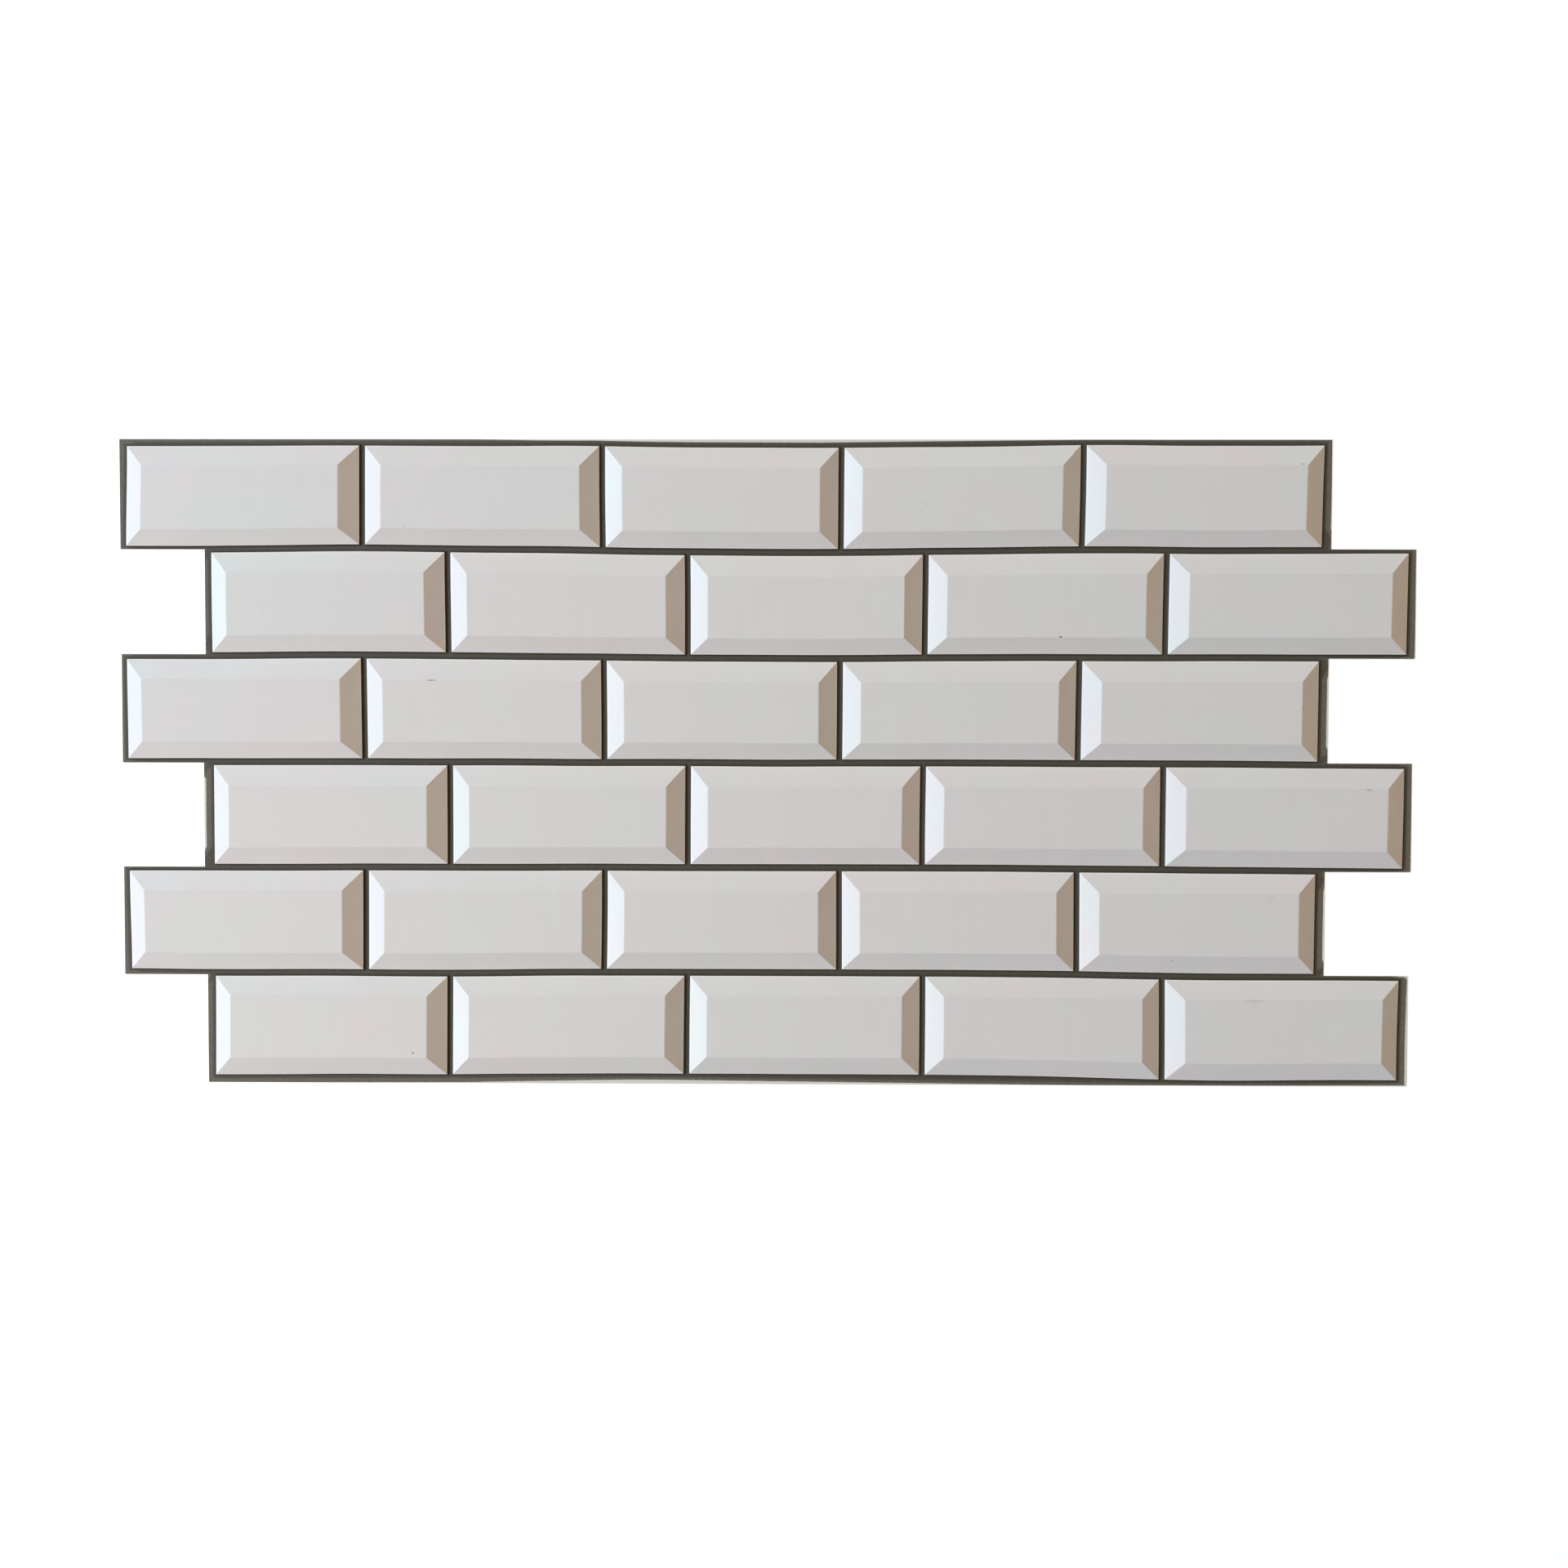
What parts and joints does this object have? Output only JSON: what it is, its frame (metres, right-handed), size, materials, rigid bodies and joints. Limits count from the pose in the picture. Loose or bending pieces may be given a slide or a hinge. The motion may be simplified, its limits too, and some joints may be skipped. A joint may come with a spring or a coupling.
{
  "type": "pvc wall panel",
  "caption": "Thin formed wall covering panel imitating white bevelled tiles in a running bond, with dark printed joints and toothed ends.",
  "frame": {"origin": "middle of the panel's outline box, on the plane of its back", "axes": "+X along the tile rows, +Y up the wall as the panel is hung, +Z out of the wall through the tile faces"},
  "size_m": [0.9632, 0.4812, 0.0073],
  "materials": {
    "white_pvc": "satin white PVC film with dark grey-brown printed joints"
  },
  "bodies": {
    "root": {"tile_sheet": "white_pvc"}
  },
  "joints": []
}
